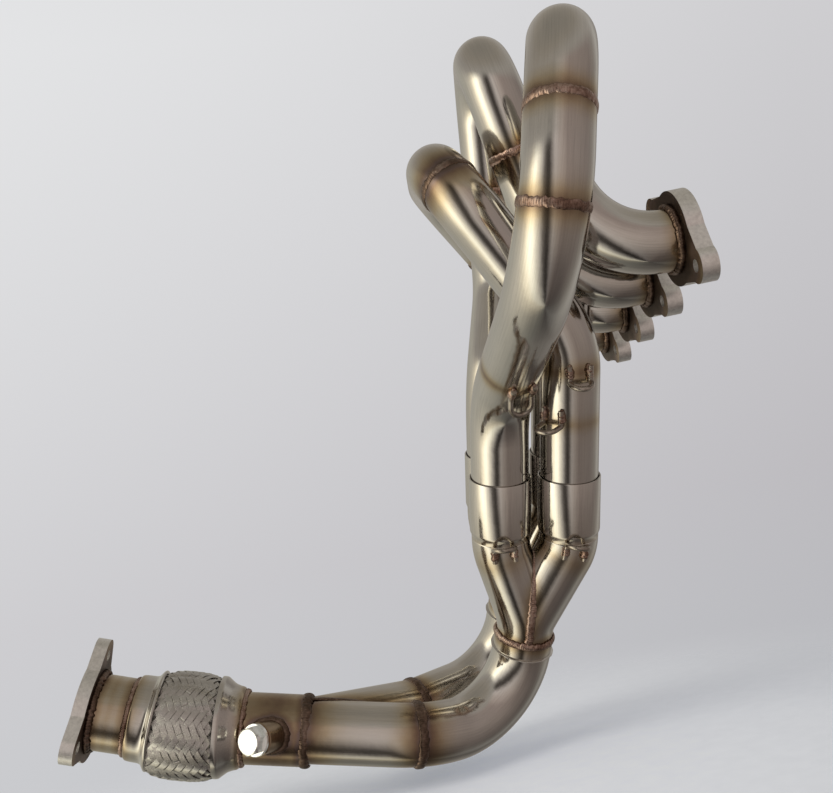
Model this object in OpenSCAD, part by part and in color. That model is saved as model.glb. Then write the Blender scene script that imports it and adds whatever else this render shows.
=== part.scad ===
// Four into two into one exhaust manifold with slip joints and a braided flex section.
// Origin: centre of the gasket face of port 1. +X points into the cylinder head,
// +Y runs along the port row to cylinder 4 and +Z runs up the head face. Millimetres.

/* [Ports] */
// distance between neighbouring ports
port_pitch = 88; // [80:1:100]
// port flange thickness
port_flange_t = 12; // [8:1:16]
// bolt circle diameter of a port flange
port_pcd = 84; // [76:1:96]
// bolt hole diameter in every flange
bolt_hole_d = 9; // [7:0.5:12]
// angle of the bolt line in the flange plane
port_bolt_angle = 45; // [0:5:90]

/* [Tubes] */
// outside diameter of a primary tube
primary_od = 45; // [38:1:51]
// outside diameter of a secondary tube
secondary_od = 48; // [42:1:57]
// outside diameter of the collector pipe
sensor_pipe_od = 54; // [50:1:63]
// outside diameter of the outlet stub
outlet_od = 57; // [50:1:63]
// wall thickness of every tube
wall = 1.5; // [1:0.1:2]

/* [Slip joints] */
// outside diameter of a slip socket
socket_od = 48.6; // [46:0.2:54]
// gap all round between a primary tail and its socket
slip_gap = 0.4; // [0.2:0.1:0.8]
// length of a slip socket
socket_len = 44; // [30:1:60]
// length of tail inside a socket
tail_in = 38; // [25:1:42]
// half the spacing of the sockets across a pair
socket_dx = 27; // [26:0.5:34]
// half the spacing between the front pair and the rear pair
socket_dy = 28; // [26:0.5:34]
// tilt of the slip axis towards the rear of the row
slip_tilt = 25; // [0:1:40]
// tilt of the slip axis away from the head
slip_lean = 10; // [0:1:20]

/* [Flex and outlet] */
// outside diameter of the braid at its middle
braid_od = 82; // [70:1:95]
// length of the braid
braid_len = 43; // [36:1:44]
// outlet flange thickness
outlet_flange_t = 10; // [8:1:14]
// bolt circle diameter of the outlet flange
outlet_pcd = 84; // [76:1:100]
// distance from the middle of the braid to the outlet flange face
outlet_reach = 82; // [70:1:120]

/* [Hardware] */
// wire diameter of a spring hook
hook_wire = 4; // [3:0.5:5]
// outside diameter of the sensor boss
boss_od = 24; // [22:1:28]
// width across flats of the plug
plug_af = 19; // [17:1:24]

/* [Hidden] */
$fn = 96;
gap = 0.2;
lap = 0.02;
pr = primary_od / 2;
sr = secondary_od / 2;
slip_at = [-132, 115, -126];
ux = [cos(slip_lean), 0, -sin(slip_lean)];
uy = [sin(slip_tilt) * sin(slip_lean), cos(slip_tilt), sin(slip_tilt) * cos(slip_lean)];
uz = [cos(slip_tilt) * sin(slip_lean), -sin(slip_tilt), cos(slip_tilt) * cos(slip_lean)];
final_at = [-351, 130, -294];
flex_at = [-440, 124, -270];
outlet_to = [-518, 114, -239];
inlet_dir = unit(flex_at - final_at);
outlet_dir = unit(outlet_to - flex_at);
core_dir = unit(inlet_dir + outlet_dir);
sensor_pipe_len = norm(flex_at - final_at) - 44;
boss_dir = unit([-0.445, -0.89, 0.11]);
boss_at = final_at + 11 * inlet_dir;

// centreline corners and bend radii, from the gasket face to the tail
line_1 = [[0, 0, 0], [-99, 0, 0], [-62, -8, 150], [-80, -101, 113], [-119, -107, -24],
    slip(-socket_dx, -socket_dy, 62), slip(-socket_dx, -socket_dy, -tail_in)];
bend_1 = [64, 48, 48, 90, 75];
line_2 = [[0, port_pitch, 0], [-74, port_pitch, 0], [-107, 33, 182], [-97, 123, 216],
    [-119, 146, 30], slip(-socket_dx, socket_dy, 56), slip(-socket_dx, socket_dy, -tail_in)];
bend_2 = [60, 42, 42, 80, 75];
line_3 = [[0, 2 * port_pitch, 0], [-74, 2 * port_pitch, 0], [-48, 214, 146], [-46, 116, 146],
    [-70, 136, 0], slip(socket_dx, socket_dy, 56), slip(socket_dx, socket_dy, -tail_in)];
bend_3 = [45, 38, 38, 70, 70];
line_4 = [[0, 3 * port_pitch, 0], [-52, 3 * port_pitch, 0], [-154, 170, 142], [-164, 2, 89],
    slip(socket_dx, -socket_dy, 108), slip(socket_dx, -socket_dy, -tail_in)];
bend_4 = [45, 46, 46, 75];

// secondary centrelines, from the pair merge to the final merge
line_f = [slip(-9, -socket_dy, -137), slip(-21, -socket_dy, -215), [-260, 124, -316],
    final_at + [0, -3, 0]];
line_r = [slip(-9, socket_dy, -137), slip(-20, socket_dy + 3, -210), [-266, 182, -304],
    final_at + [0, 3, 0]];
bend_s = [58, 65];
// normal of the plane in which the two secondary lines meet
merge_n = unit(unit(line_f[3] - line_f[2]) - unit(line_r[3] - line_r[2]));

function unit(v) = v / norm(v);
function slip(x, y, z) = slip_at + x * ux + y * uy + z * uz;
function turn(p, i) = acos(unit(p[i] - p[i - 1]) * unit(p[i + 1] - p[i]));
function tan_len(p, r, i) = (i == 0 || i == len(p) - 1) ? 0 : r[i - 1] * tan(turn(p, i) / 2);
function leg_len(p, r, i) = norm(p[i + 1] - p[i]) - tan_len(p, r, i) - tan_len(p, r, i + 1);
function arc_len(p, r, i) = r[i - 1] * turn(p, i) * PI / 180;
function leg_from(p, r, i) = i == 0 ? 0 : leg_from(p, r, i - 1) + leg_len(p, r, i - 1)
    + arc_len(p, r, i);
function line_len(p, r) = leg_from(p, r, len(p) - 2) + leg_len(p, r, len(p) - 2);

// places a shape so that its +Z follows direction d from point p
module aim(p, d) {
    x = abs(d.z) > 0.95 ? unit(cross([1, 0, 0], d)) : unit(cross([0, 0, 1], d));
    y = cross(d, x);
    multmatrix([[x.x, y.x, d.x, p.x], [x.y, y.y, d.y, p.y], [x.z, y.z, d.z, p.z]])
        children();
}

module at_slip() {
    translate(slip_at) rotate([slip_tilt, slip_lean, 0]) children();
}

module ring(ro, ri, h) {
    rotate_extrude() translate([ri, 0]) square([ro - ri, h]);
}

// straight part of leg i of a tube, from arc length a to arc length b
module leg_piece(p, r, i, a, b, ro, ri) {
    d = unit(p[i + 1] - p[i]);
    s0 = leg_from(p, r, i);
    lo = max(a, s0);
    hi = min(b, s0 + leg_len(p, r, i));
    if (hi - lo > 0.01)
        aim(p[i] + d * (tan_len(p, r, i) + lo - s0), d) ring(ro, ri, hi - lo);
}

// curved part at corner i of a tube, from arc length a to arc length b
module bend_piece(p, r, i, a, b, ro, ri) {
    d0 = unit(p[i] - p[i - 1]);
    d1 = unit(p[i + 1] - p[i]);
    rad = r[i - 1];
    n = unit(d1 - d0 * (d0 * d1));
    s0 = leg_from(p, r, i) - arc_len(p, r, i);
    lo = max(a, s0 - 0.4);
    hi = min(b, s0 + arc_len(p, r, i) + 0.4);
    per = 180 / (PI * rad);
    c = p[i] - d0 * tan_len(p, r, i) + n * rad;
    z = cross(-n, d0);
    if (hi - lo > 0.01)
        multmatrix([[-n.x, d0.x, z.x, c.x], [-n.y, d0.y, z.y, c.y], [-n.z, d0.z, z.z, c.z]])
            rotate([0, 0, (lo - s0) * per])
                rotate_extrude(angle = (hi - lo) * per)
                    translate([rad, 0])
                        difference() {
                            circle(r = ro);
                            circle(r = ri);
                        }
}

// a bent tube that follows corners p with bend radii r between arc lengths a and b,
// each bend reaches a little way into its legs so that the tube is one piece
module tube(p, r, a, b, od, t = wall) {
    ro = od / 2;
    ri = ro - t;
    for (i = [0 : len(p) - 2])
        leg_piece(p, r, i, a, b, ro, ri);
    for (i = [1 : len(p) - 2])
        bend_piece(p, r, i, a, b, ro - lap, ri + lap);
}

// two bolt flange with rounded ears, ears along X
module flange_plate(pcd, body_r, ear_r, bore_r, t) {
    x0 = body_r * 0.77;
    y0 = body_r * 0.64;
    x1 = pcd / 2;
    difference() {
        union() {
            cylinder(r = body_r, h = t);
            for (s = [-1, 1])
                translate([s * x1, 0, 0]) cylinder(r = ear_r, h = t);
            linear_extrude(t)
                polygon([[-x1, -ear_r + 0.1], [-x0, -y0], [x0, -y0], [x1, -ear_r + 0.1],
                    [x1, ear_r - 0.1], [x0, y0], [-x0, y0], [-x1, ear_r - 0.1]]);
        }
        translate([0, 0, -1]) cylinder(r = bore_r, h = t + 2);
        for (s = [-1, 1])
            translate([s * x1, 0, -1]) cylinder(d = bolt_hole_d, h = t + 2);
    }
}

// three bolt flange with rounded ears, one ear along Y
module lug_flange(pcd, body_r, ear_r, bore_r, t) {
    e = pcd / 2;
    difference() {
        union() {
            cylinder(r = body_r, h = t);
            for (a = [90, 210, 330])
                rotate([0, 0, a]) translate([e, 0, 0]) cylinder(r = ear_r, h = t);
            linear_extrude(t)
                polygon([for (a = [90, 210, 330]) for (b = [a - 60, a + 60])
                    e * [cos(a), sin(a)] + (ear_r - 0.1) * [cos(b), sin(b)]]);
        }
        translate([0, 0, -1]) cylinder(r = bore_r, h = t + 2);
        for (a = [90, 210, 330])
            rotate([0, 0, a]) translate([e, 0, -1]) cylinder(d = bolt_hole_d, h = t + 2);
    }
}

module port_flange(n) {
    color("Silver")
        translate([0, n * port_pitch, 0]) rotate([0, -90, 0]) rotate([0, 0, port_bolt_angle])
            flange_plate(port_pcd, 34, 12.5, pr + 0.1, port_flange_t);
}

module primary(p, r, a, b) {
    color("LightSteelBlue") tube(p, r, a + gap, b - gap, primary_od);
}

// wire spring hook on a tube of radius r that runs along Z, welded legs below z = 0,
// loop above it, lifted away from the tube towards +Y
module hook(r, lift, reach) {
    w = hook_wire / 2;
    y = sqrt(pow(r + w + 0.15, 2) - 64);
    for (s = [-8, 8]) {
        translate([s, y, -12]) cylinder(r = w, h = 12);
        translate([s, y, 0]) sphere(r = w + 0.05);
    }
    translate([0, y, 0]) rotate([-lift, 0, 0]) {
        for (s = [-8, 8])
            translate([s, 0, 0]) cylinder(r = w, h = reach - 8);
        translate([0, 0, reach - 8]) rotate([90, 0, 0])
            rotate_extrude(angle = 180) translate([8, 0]) circle(r = w);
    }
}

// places a hook on straight leg i of a tube, s past its corner, on the side facing n
module on_leg(p, i, s, n) {
    d = unit(p[i + 1] - p[i]);
    y = unit(n - d * (n * d));
    x = cross(y, d);
    c = p[i] + s * d;
    multmatrix([[x.x, y.x, d.x, c.x], [x.y, y.y, d.y, c.y], [x.z, y.z, d.z, c.z]])
        children();
}

module upper_spring_hooks() {
    color("DarkGray") {
        on_leg(line_1, 4, 135, [0.09, -0.28, -0.95]) hook(pr, 30, 15);
        on_leg(line_4, 4, 28, [0.08, -0.91, -0.41]) hook(pr, 75, 10.5);
        on_leg(line_4, 4, 62, [-0.73, -0.66, -0.18]) hook(pr, 80, 14);
        on_leg(line_2, 5, 43, uy) hook(pr, 60, 12);
        on_leg(line_3, 5, 43, uy) hook(pr, 60, 12);
    }
}

module lower_spring_hooks() {
    color("DarkGray") at_slip()
        for (h = [[-1, -1, 181], [1, -1, 186], [-1, 1, 0], [1, 1, 0]])
            translate([h[0] * socket_dx, h[1] * socket_dy, -49.5])
                rotate([0, h[0] > 0 ? 10 : -5, 0]) rotate([0, 0, h[2]])
                    hook(23.4, 75, 11);
}

// slip socket with the step down to the arm, in its own axis
module socket() {
    ri = pr + slip_gap;
    ro = socket_od / 2;
    rotate_extrude()
        polygon([[ri, 0], [ro, 0], [ro, -socket_len], [23, -socket_len - 4], [23, -50],
            [21.5, -50], [21.5, -socket_len - 3], [ri, -socket_len + 2]]);
}

// one arm of a pair merge, side -1 left or +1 right
module merge_arm(side) {
    dx = side * socket_dx;
    p = [[dx, 0, -49.4], [dx, 0, -60], [-7, 0, -124], [-9, 0, -137]];
    r = side < 0 ? [58, 50] : [38, 38];
    difference() {
        union() {
            translate([dx, 0, 0]) socket();
            tube(p, r, 0, line_len(p, r) - gap, 46 - 2 * lap, wall - 2 * lap);
        }
        translate([0, 0, -60]) rotate([0, 6.2, 0])
            translate([side < 0 ? -gap / 2 : -60 + gap / 2, -40, -100]) cube([60, 80, 96]);
    }
}

module pair_merge(side, row) {
    color("LightSteelBlue") at_slip() translate([0, row * socket_dy, 0]) merge_arm(side);
}

module secondary(p, s) {
    color("LightSteelBlue") tube(p, bend_s, gap, s - gap, secondary_od);
}

// one arm of the final merge, cut where it meets the other
module final_arm(p, s, side) {
    color("LightSteelBlue")
        difference() {
            tube(p, bend_s, s + gap, line_len(p, bend_s) - gap, secondary_od);
            aim(final_at, merge_n)
                translate([0, 0, side < 0 ? -gap / 2 : -60 + gap / 2]) cylinder(r = 130, h = 60);
            aim(final_at, inlet_dir) cylinder(r = 60, h = 40);
        }
}

module sensor_pipe() {
    color("LightSteelBlue")
        difference() {
            aim(final_at, inlet_dir) translate([0, 0, gap])
                ring(sensor_pipe_od / 2, sensor_pipe_od / 2 - wall, sensor_pipe_len - gap);
            aim(boss_at, boss_dir) cylinder(r = 10.5, h = 60);
        }
}

module sensor_boss() {
    color("Silver")
        difference() {
            aim(boss_at, boss_dir) cylinder(d = boss_od, h = 44);
            aim(boss_at, boss_dir) translate([0, 0, -1]) cylinder(r = 9.2, h = 60);
            aim(final_at, inlet_dir) cylinder(r = sensor_pipe_od / 2 + 0.1, h = 80);
        }
}

module plug_washer() {
    color("Goldenrod")
        aim(boss_at + 44.1 * boss_dir, boss_dir) ring(11, 9.2, 1.4);
}

module sensor_plug() {
    color("GhostWhite")
        aim(boss_at + 45.7 * boss_dir, boss_dir) {
            translate([0, 0, -15]) cylinder(r = 8.8, h = 16);
            cylinder(r = 12, h = 2.5);
            rotate([0, 0, 10]) cylinder(d = plug_af / cos(30), h = 10, $fn = 6);
        }
}

// shell of revolution around Z from outline pairs [z, outer radius], wall t
module bell(o, t) {
    rotate_extrude()
        polygon(concat([for (q = o) [q[1], q[0]]],
            [for (i = [len(o) - 1 : -1 : 0]) [o[i][1] - t, o[i][0]]]));
}

module flex_inlet_ferrule() {
    color("Silver") aim(flex_at, inlet_dir)
        bell([[-43.8, 28.5], [-41, 31], [-36, 32.5], [-30, 36.5], [-24, 38]], 1.5);
}

module flex_outlet_ferrule() {
    color("Silver") aim(flex_at, outlet_dir)
        bell([[24, 37.5], [26.5, 36], [29, 33], [41, 32], [43.8, 28.5]], 1.5);
}

module flex_liner() {
    color("DimGray") aim(flex_at, core_dir) translate([0, 0, -17]) ring(25, 23.5, 34);
}

module flex_bellows() {
    color("Silver") aim(flex_at, core_dir) {
        translate([0, 0, -21]) ring(30, 29, 42);
        for (i = [-4 : 4])
            translate([0, 0, i * 4.5 - 0.8]) ring(34.5, 29.5, 1.6);
    }
}

module flex_braid() {
    color("DarkGray") aim(flex_at, core_dir)
        bell([for (i = [-6 : 6]) [i * (braid_len - 2) / 12,
            braid_od / 2 - 3.5 * pow(abs(i) / 6, 3)]], 2.5);
}

module outlet_stub() {
    color("LightSteelBlue") aim(flex_at, outlet_dir) translate([0, 0, 44 + gap])
        ring(outlet_od / 2, outlet_od / 2 - wall, outlet_reach - 46 - gap);
}

module outlet_flange() {
    color("Silver") aim(flex_at + (outlet_reach - outlet_flange_t) * outlet_dir, outlet_dir)
        lug_flange(outlet_pcd, 38, 12.5, outlet_od / 2 + 0.1, outlet_flange_t);
}

port_flange(0);  // port_flange_1
port_flange(1);  // port_flange_2
port_flange(2);  // port_flange_3
port_flange(3);  // port_flange_4
primary(line_1, bend_1, 2, 150);  // primary_1_port_bend
primary(line_1, bend_1, 150, 305);  // primary_1_top_bend
primary(line_1, bend_1, 305, 366);  // primary_1_upper_leg
primary(line_1, bend_1, 366, 2000);  // primary_1_tail
primary(line_2, bend_2, 2, 174);  // primary_2_port_bend
primary(line_2, bend_2, 174, 408);  // primary_2_top_bend
primary(line_2, bend_2, 408, 2000);  // primary_2_tail
primary(line_3, bend_3, 2, 130);  // primary_3_port_bend
primary(line_3, bend_3, 130, 330);  // primary_3_top_bend
primary(line_3, bend_3, 330, 2000);  // primary_3_tail
primary(line_4, bend_4, 2, 165);  // primary_4_port_bend
primary(line_4, bend_4, 165, 405);  // primary_4_top_bend
primary(line_4, bend_4, 405, 2000);  // primary_4_tail
upper_spring_hooks();
lower_spring_hooks();
pair_merge(-1, -1);  // front_merge_left
pair_merge(1, -1);  // front_merge_right
pair_merge(-1, 1);  // rear_merge_left
pair_merge(1, 1);  // rear_merge_right
secondary(line_f, 142);  // front_secondary
secondary(line_r, 150);  // rear_secondary
final_arm(line_f, 142, -1);  // final_merge_front
final_arm(line_r, 150, 1);  // final_merge_rear
sensor_pipe();
sensor_boss();
sensor_plug();
plug_washer();
flex_inlet_ferrule();
flex_liner();
flex_bellows();
flex_braid();
flex_outlet_ferrule();
outlet_stub();
outlet_flange();
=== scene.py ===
import bmesh
import bpy
import math
from mathutils import Matrix, Vector, noise


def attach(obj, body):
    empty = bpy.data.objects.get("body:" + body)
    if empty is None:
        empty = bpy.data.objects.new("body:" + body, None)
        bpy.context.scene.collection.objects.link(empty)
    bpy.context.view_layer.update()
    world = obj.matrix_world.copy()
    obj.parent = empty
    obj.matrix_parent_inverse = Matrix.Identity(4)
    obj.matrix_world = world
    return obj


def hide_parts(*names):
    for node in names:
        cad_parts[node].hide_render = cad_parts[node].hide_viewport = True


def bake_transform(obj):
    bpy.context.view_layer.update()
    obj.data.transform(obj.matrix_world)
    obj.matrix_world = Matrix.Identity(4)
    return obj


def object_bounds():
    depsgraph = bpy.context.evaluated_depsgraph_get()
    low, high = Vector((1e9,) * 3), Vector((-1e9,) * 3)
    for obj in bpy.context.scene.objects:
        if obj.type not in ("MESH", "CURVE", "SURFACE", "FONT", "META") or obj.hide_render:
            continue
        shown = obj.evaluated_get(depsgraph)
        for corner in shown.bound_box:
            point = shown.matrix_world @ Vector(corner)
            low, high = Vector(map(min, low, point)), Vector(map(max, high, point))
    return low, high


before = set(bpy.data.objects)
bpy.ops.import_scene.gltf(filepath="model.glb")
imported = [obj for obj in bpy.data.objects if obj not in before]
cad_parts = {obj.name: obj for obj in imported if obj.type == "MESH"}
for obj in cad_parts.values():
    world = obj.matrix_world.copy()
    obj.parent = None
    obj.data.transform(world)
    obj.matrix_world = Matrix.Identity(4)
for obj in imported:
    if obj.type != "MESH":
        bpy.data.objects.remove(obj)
cad_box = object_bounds()
MM = 0.001
TAU = 2 * math.pi


# ---------------------------------------------------------------- frame of the object, in mm
def rot(axis, deg):
    """Turn about one axis, in degrees."""
    return Matrix.Rotation(math.radians(deg), 3, axis)


SLIP_ROT = rot("Y", 10) @ rot("X", 25)
SLIP_AT = Vector((-132, 115, -126))
UX, UY, UZ = SLIP_ROT.col[0].copy(), SLIP_ROT.col[1].copy(), SLIP_ROT.col[2].copy()
DX, DY = 27, 28                 # half spacing of the four slip sockets
PITCH, FLANGE_T = 88, 12        # port pitch and thickness of the port flanges


def slip(x, y, z):
    """Point of the slip joint frame, whose Z is the way the sockets slide."""
    return SLIP_AT + UX * x + UY * y + UZ * z


def vec(*points):
    """Points as vectors."""
    return [Vector(p) for p in points]


FINAL = Vector((-351, 130, -294))
FLEX = Vector((-440, 124, -270))
IN_DIR = (FLEX - FINAL).normalized()
OUT_DIR = (Vector((-518, 114, -239)) - FLEX).normalized()
CORE_DIR = (IN_DIR + OUT_DIR).normalized()
BOSS_DIR = Vector((-0.445, -0.89, 0.11)).normalized()
BOSS_AT = FINAL + 11 * IN_DIR

# centrelines as (corner points, bend radii): 1 to 4 primaries, f and r front and rear secondary
LINES = {
    1: (vec((0, 0, 0), (-99, 0, 0), (-62, -8, 150), (-80, -101, 113), (-119, -107, -24),
            slip(-DX, -DY, 62), slip(-DX, -DY, -38)), (64, 48, 48, 90, 75)),
    2: (vec((0, PITCH, 0), (-74, PITCH, 0), (-107, 33, 182), (-97, 123, 216), (-119, 146, 30),
            slip(-DX, DY, 56), slip(-DX, DY, -38)), (60, 42, 42, 80, 75)),
    3: (vec((0, 2 * PITCH, 0), (-74, 2 * PITCH, 0), (-48, 214, 146), (-46, 116, 146), (-70, 136, 0),
            slip(DX, DY, 56), slip(DX, DY, -38)), (45, 38, 38, 70, 70)),
    4: (vec((0, 3 * PITCH, 0), (-52, 3 * PITCH, 0), (-154, 170, 142), (-164, 2, 89),
            slip(DX, -DY, 108), slip(DX, -DY, -38)), (45, 46, 46, 75)),
    "f": (vec(slip(-9, -DY, -137), slip(-21, -DY, -215), (-260, 124, -316),
              FINAL + Vector((0, -3, 0))), (58, 65)),
    "r": (vec(slip(-9, DY, -137), slip(-20, DY + 3, -210), (-266, 182, -304),
              FINAL + Vector((0, 3, 0))), (58, 65)),
}
for side, bends in ((-1, (58, 50)), (1, (38, 38))):
    for row in (-1, 1):
        LINES[(side, row)] = (
            vec(slip(side * DX, row * DY, -49.4), slip(side * DX, row * DY, -60),
                slip(-7, row * DY, -124), slip(-9, row * DY, -137)), bends)


class Line:
    """A centreline of straight legs and round bends, sampled by arc length."""

    def __init__(self, points, radii):
        """Legs between the corner points, each corner rounded to its bend radius."""
        self.parts = []
        n = len(points)
        d = [(points[i + 1] - points[i]).normalized() for i in range(n - 1)]
        cut = [0.0] * n
        for i in range(1, n - 1):
            cut[i] = radii[i - 1] * math.tan(d[i - 1].angle(d[i]) / 2)
        s = 0.0
        for i in range(n - 1):
            a = points[i] + d[i] * cut[i]
            leg = (points[i + 1] - points[i]).length - cut[i] - cut[i + 1]
            self.parts.append((s, s + leg, a, d[i], None, 0))
            s += leg
            if i < n - 2:
                turn = d[i].angle(d[i + 1])
                inward = (d[i + 1] - d[i] * d[i].dot(d[i + 1])).normalized()
                r = radii[i]
                self.parts.append((s, s + r * turn, a + d[i] * leg, d[i], inward, r))
                s += r * turn
        self.length = s

    def at(self, s):
        """Point and direction at arc length s."""
        for a, b, p, d, inward, r in self.parts:
            if s <= b or b == self.parts[-1][1]:
                if inward is None:
                    return p + d * (s - a), d.copy()
                t = (s - a) / r
                return (p + d * (r * math.sin(t)) + inward * (r * (1 - math.cos(t))),
                        d * math.cos(t) + inward * math.sin(t))

    def rings(self, s0, s1, step=2.0):
        """(s, centre, tangent, e1, e2) along the line, with frames carried from its start."""
        out, s, e = [], 0.0, None
        stops = [s0 + (s1 - s0) * k / max(1, math.ceil((s1 - s0) / step))
                 for k in range(max(1, math.ceil((s1 - s0) / step)) + 1)]
        lead = [step * k for k in range(int(s0 / step) + 1) if step * k < s0]
        for s in lead + stops:
            p, t = self.at(s)
            if e is None:
                e = t.cross(Vector((0.31, 0.17, 0.93))).normalized()
            e = (e - t * e.dot(t)).normalized()
            if s >= s0:
                out.append((s, p, t, e.copy(), t.cross(e)))
        return out


LINE = {k: Line(*v) for k, v in LINES.items()}


# ---------------------------------------------------------------- materials
def new_material(name):
    """Empty material with one Principled shader on its output."""
    m = bpy.data.materials.new(name)
    m.use_nodes = True
    nt = m.node_tree
    nt.nodes.clear()
    out = nt.nodes.new("ShaderNodeOutputMaterial")
    bsdf = nt.nodes.new("ShaderNodeBsdfPrincipled")
    nt.links.new(bsdf.outputs[0], out.inputs[0])
    return m, nt, bsdf


def node(nt, kind, links=(), **values):
    """New shader node: links maps an input to a socket or a plain value, values are its settings."""
    n = nt.nodes.new(kind)
    for k, v in values.items():
        setattr(n, k, v)
    for k, v in dict(links).items():
        if hasattr(v, "is_output"):
            nt.links.new(v, n.inputs[k])
        else:
            n.inputs[k].default_value = v
    return n


def ramp(nt, factor, stops):
    """Straight colour ramp through (position, colour) stops."""
    n = nt.nodes.new("ShaderNodeValToRGB")
    n.color_ramp.interpolation = "LINEAR"
    els = n.color_ramp.elements
    while len(els) > 1:
        els.remove(els[-1])
    els[0].position, els[0].color = stops[0][0], (*stops[0][1], 1)
    for pos, col in stops[1:]:
        els.new(pos).color = (*col, 1)
    nt.links.new(factor, n.inputs[0])
    return n.outputs[0]


def maths(nt, op, a, b=0.0, c=0.0, clamp=False):
    """Math node on sockets or plain values."""
    n = nt.nodes.new("ShaderNodeMath")
    n.operation, n.use_clamp = op, clamp
    for k, v in enumerate((a, b, c)):
        if hasattr(v, "is_output"):
            nt.links.new(v, n.inputs[k])
        else:
            n.inputs[k].default_value = v
    return n.outputs[0]


def noise_at(nt, vector, scale, detail=3.0, rough=0.5, stretch=(1, 1, 1)):
    """Noise value at a vector that is first stretched per axis."""
    m = node(nt, "ShaderNodeMapping", {"Vector": vector, "Scale": stretch})
    return node(nt, "ShaderNodeTexNoise", {"Vector": m.outputs[0], "Scale": scale,
                                           "Detail": detail, "Roughness": rough}).outputs[0]


def attribute(nt, name):
    """Node that reads one of the mesh attributes that build() writes."""
    return node(nt, "ShaderNodeAttribute", attribute_name=name)


# heat tint of the steel from bare metal (0) to the edge of a weld (1)
TINT = [
    (0.00, (0.60, 0.58, 0.555)),
    (0.16, (0.575, 0.545, 0.505)),
    (0.30, (0.53, 0.475, 0.395)),
    (0.44, (0.45, 0.37, 0.265)),
    (0.58, (0.33, 0.25, 0.17)),
    (0.70, (0.235, 0.165, 0.12)),
    (0.80, (0.19, 0.14, 0.13)),
    (0.90, (0.14, 0.102, 0.082)),
    (1.00, (0.085, 0.062, 0.05)),
]


def steel(name, tint=TINT, rough=0.12, streak=0.4, bump=0.035, wide=1.0):
    """Polished stainless steel; heat tint follows the weld_tint attribute, polishing marks the tube."""
    m, nt, bsdf = new_material(name)
    tc = attribute(nt, "straight").outputs["Vector"]
    heat = attribute(nt, "weld_tint").outputs["Fac"]
    blotch = noise_at(nt, tc, 42, 3, 0.55, (1, 1, 0.7))
    wave = noise_at(nt, tc, 130, 2, 0.5, (1, 1, 1.2))
    along = noise_at(nt, tc, 950, 4, 0.6, (1, 1, 0.035))
    round_marks = noise_at(nt, tc, 900, 3, 0.6, (0.05, 0.05, 1))
    h = maths(nt, "MULTIPLY_ADD", maths(nt, "SUBTRACT", blotch, 0.5), 0.5 * wide,
              maths(nt, "MULTIPLY_ADD", maths(nt, "SUBTRACT", wave, 0.5), 0.16 * wide, 0.0))
    spread = maths(nt, "MULTIPLY_ADD", h, maths(nt, "ADD", heat, 0.22), heat, clamp=True)
    colour = ramp(nt, spread, tint)
    worn = node(nt, "ShaderNodeMix", {"Factor": 1.0, 6: colour}, data_type="RGBA",
                blend_type="MULTIPLY")
    grey = ramp(nt, maths(nt, "MULTIPLY_ADD", along, 0.6, maths(nt, "MULTIPLY", blotch, 0.4)),
                [(0.30, (0.86, 0.86, 0.86)), (0.52, (1, 1, 1)), (0.74, (1.07, 1.07, 1.06))])
    nt.links.new(grey, worn.inputs[7])
    nt.links.new(worn.outputs[2], bsdf.inputs["Base Color"])
    r = maths(nt, "MULTIPLY_ADD", maths(nt, "SUBTRACT", along, 0.5), 0.20 * streak, rough)
    r = maths(nt, "MULTIPLY_ADD", maths(nt, "SUBTRACT", blotch, 0.5), 0.12, r)
    r = maths(nt, "MULTIPLY_ADD", heat, 0.06, r, clamp=True)
    nt.links.new(r, bsdf.inputs["Roughness"])
    bsdf.inputs["Metallic"].default_value = 1.0
    b1 = node(nt, "ShaderNodeBump", {"Strength": bump, "Distance": 0.00012,
              "Height": maths(nt, "MULTIPLY_ADD", along, streak, maths(nt, "MULTIPLY", round_marks, 0.7))})
    b2 = node(nt, "ShaderNodeBump", {"Strength": 0.16, "Distance": 0.0004, "Height": wave,
                                     "Normal": b1.outputs[0]})
    nt.links.new(b2.outputs[0], bsdf.inputs["Normal"])
    return m


def plain_metal(name, stops, rough=0.35, scale=300, bump=0.3, metallic=1.0, stretch=(1, 1, 1), dist=0.0002):
    """Metal in object space: colour, roughness and bump from one blotchy and one fine noise."""
    m, nt, bsdf = new_material(name)
    co = node(nt, "ShaderNodeTexCoord").outputs["Object"]
    fine = noise_at(nt, co, scale, 5, 0.6, stretch)
    blotch = noise_at(nt, co, scale / 9, 3, 0.5)
    f = maths(nt, "MULTIPLY_ADD", fine, 0.45, maths(nt, "MULTIPLY", blotch, 0.55))
    nt.links.new(ramp(nt, f, stops), bsdf.inputs["Base Color"])
    bsdf.inputs["Metallic"].default_value = metallic
    r = maths(nt, "MULTIPLY_ADD", maths(nt, "SUBTRACT", fine, 0.5), 0.35, rough)
    nt.links.new(maths(nt, "MULTIPLY_ADD", blotch, 0.12, maths(nt, "SUBTRACT", r, 0.06), clamp=True),
                 bsdf.inputs["Roughness"])
    b = node(nt, "ShaderNodeBump", {"Strength": bump, "Distance": dist, "Height": fine})
    nt.links.new(b.outputs[0], bsdf.inputs["Normal"])
    return m


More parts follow.
